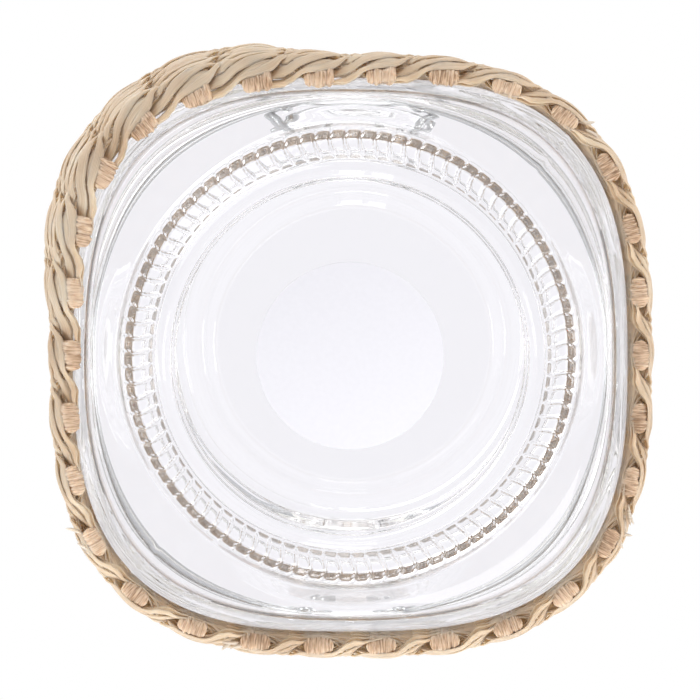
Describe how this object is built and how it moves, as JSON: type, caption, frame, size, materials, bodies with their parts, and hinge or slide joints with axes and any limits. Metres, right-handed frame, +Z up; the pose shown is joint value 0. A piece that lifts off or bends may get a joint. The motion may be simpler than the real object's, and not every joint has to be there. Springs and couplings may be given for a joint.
{
  "type": "rattan wrapped jar",
  "caption": "Rounded-square clear glass storage jar with a hinged clip-top glass lid, seal and wire latch, in a twined plant-leaf sleeve, standing on a knurled ring.",
  "frame": {"origin": "middle of the base, on the surface that the jar stands on", "axes": "+Z up along the jar's axis, -Y towards the latch at the front, +Y towards the lid's hinge, flat sides facing X and Y"},
  "size_m": [0.1386, 0.1392, 0.1624],
  "materials": {
    "clear_glass": "clear moulded soda-lime glass, smooth with faint ripples",
    "seal": "translucent white silicone",
    "wire": "bright drawn stainless wire",
    "weft_leaf": "dry straw-coloured plant leaf with lengthwise grain",
    "stake_leaf": "dry folded plant leaf, slightly pinker, creased across the fold",
    "paper": "plain white sticker, blank"
  },
  "bodies": {
    "jar": {"glass_jar": "clear_glass", "base_label": "paper", "neck_wire": "wire", "stake_01": "stake_leaf", "stake_02": "stake_leaf", "stake_03": "stake_leaf", "stake_04": "stake_leaf", "stake_05": "stake_leaf", "stake_06": "stake_leaf", "stake_07": "stake_leaf", "stake_08": "stake_leaf", "stake_09": "stake_leaf", "stake_10": "stake_leaf", "stake_11": "stake_leaf", "stake_12": "stake_leaf", "stake_13": "stake_leaf", "stake_14": "stake_leaf", "stake_15": "stake_leaf", "stake_16": "stake_leaf", "stake_17": "stake_leaf", "stake_18": "stake_leaf", "stake_19": "stake_leaf", "stake_20": "stake_leaf", "stake_21": "stake_leaf", "stake_22": "stake_leaf", "stake_23": "stake_leaf", "stake_24": "stake_leaf", "stake_25": "stake_leaf", "stake_26": "stake_leaf", "stake_27": "stake_leaf", "stake_28": "stake_leaf", "stake_29": "stake_leaf", "stake_30": "stake_leaf", "weft_01_a": "weft_leaf", "weft_01_b": "weft_leaf", "weft_02_a": "weft_leaf", "weft_02_b": "weft_leaf", "weft_03_a": "weft_leaf", "weft_03_b": "weft_leaf", "weft_04_a": "weft_leaf", "weft_04_b": "weft_leaf", "weft_05_a": "weft_leaf", "weft_05_b": "weft_leaf", "weft_06_a": "weft_leaf", "weft_06_b": "weft_leaf", "weft_07_a": "weft_leaf", "weft_07_b": "weft_leaf", "weft_08_a": "weft_leaf", "weft_08_b": "weft_leaf", "weft_09_a": "weft_leaf", "weft_09_b": "weft_leaf"},
    "lid": {"glass_lid": "clear_glass", "lid_gasket": "seal", "lid_wire": "wire"},
    "lever": {"latch_lever": "wire"},
    "link": {"latch_link": "wire"}
  },
  "joints": [
    {"name": "lid_hinge", "type": "hinge", "parent": "jar", "child": "lid", "pos_m": [0, 0.05081, 0.13845], "axis": [-1, 0, 0], "range_deg": [0, 140]},
    {"name": "lever_pivot", "type": "hinge", "parent": "jar", "child": "lever", "pos_m": [0, -0.04961, 0.13845], "axis": [-1, 0, 0], "range_deg": [0, 100]},
    {"name": "link_pivot", "type": "hinge", "parent": "lever", "child": "link", "pos_m": [0, -0.05682, 0.13393], "axis": [-1, 0, 0], "range_deg": [-125, 0]}
  ],
  "couplings": [
    {"joint": "link_pivot", "follows": "lever_pivot", "ratio": -1.25}
  ]
}
